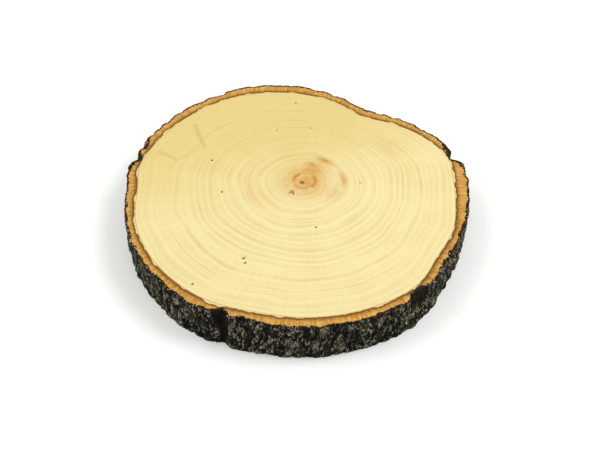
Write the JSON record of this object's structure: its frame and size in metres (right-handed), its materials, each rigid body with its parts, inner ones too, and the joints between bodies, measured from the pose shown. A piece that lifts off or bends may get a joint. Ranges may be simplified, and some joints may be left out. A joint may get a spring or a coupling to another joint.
{
  "type": "wood slice",
  "caption": "Round slice sawn across a small tree trunk: pale wood with growth rings round an off-centre pith, in a ring of rough dark bark. Lies flat as a stand, board or craft blank.",
  "frame": {"origin": "on the lower saw cut, under the middle of the outline's bounding box", "axes": "+Z along the trunk, up out of the upper saw cut; -Y towards the side where the picture looks from; +X to the right seen from there"},
  "size_m": [0.197, 0.199, 0.024],
  "materials": {
    "wood": "sanded saw cut, matt, unvarnished, with growth rings round the pith",
    "bark": "rough, near-black furrowed outer bark with grey ridges, orange-brown inner bark on both saw cuts"
  },
  "bodies": {
    "root": {"wood_disc": "wood", "bark_ring": "bark"}
  },
  "joints": []
}
